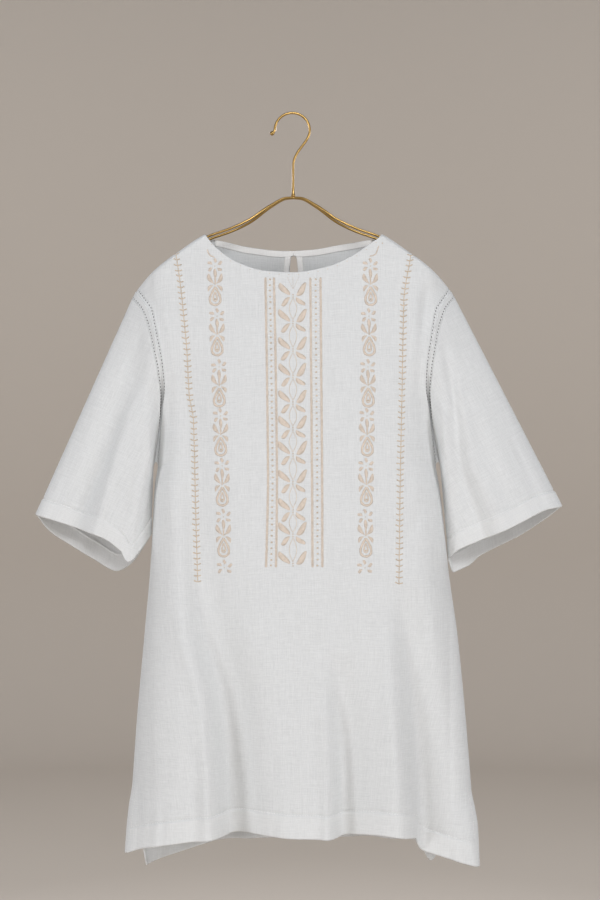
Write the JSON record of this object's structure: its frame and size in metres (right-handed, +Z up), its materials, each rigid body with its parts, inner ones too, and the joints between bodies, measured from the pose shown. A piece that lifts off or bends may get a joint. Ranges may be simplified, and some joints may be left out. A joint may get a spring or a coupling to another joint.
{
  "type": "blouse on a wire hanger",
  "caption": "White short-sleeved blouse with a boat neck, hemstitched armholes, embroidered front and side slits, hanging on a twin-wire brass hanger.",
  "frame": {"origin": "inside top of the hanger's hook, where a rail carries it", "axes": "+Z up, the blouse's front faces -Y, +X is the wearer's left"},
  "size_m": [0.631, 0.0949, 0.9069],
  "materials": {
    "white_cotton": "slubby plain weave cotton, white",
    "white_facing": "plain cotton facing, white",
    "pearl_button": "pearly",
    "brass_wire": "satin gold-coloured wire"
  },
  "bodies": {
    "root": {"front": "white_cotton", "back": "white_cotton", "sleeve_right": "white_cotton", "sleeve_left": "white_cotton", "armhole_band_right": "white_cotton", "armhole_band_left": "white_cotton", "neck_facing_right": "white_facing", "neck_facing_left": "white_facing", "keyhole_facing_right": "white_facing", "keyhole_facing_left": "white_facing", "button": "pearl_button", "hanger_arms": "brass_wire", "hanger_hook": "brass_wire"}
  },
  "joints": []
}
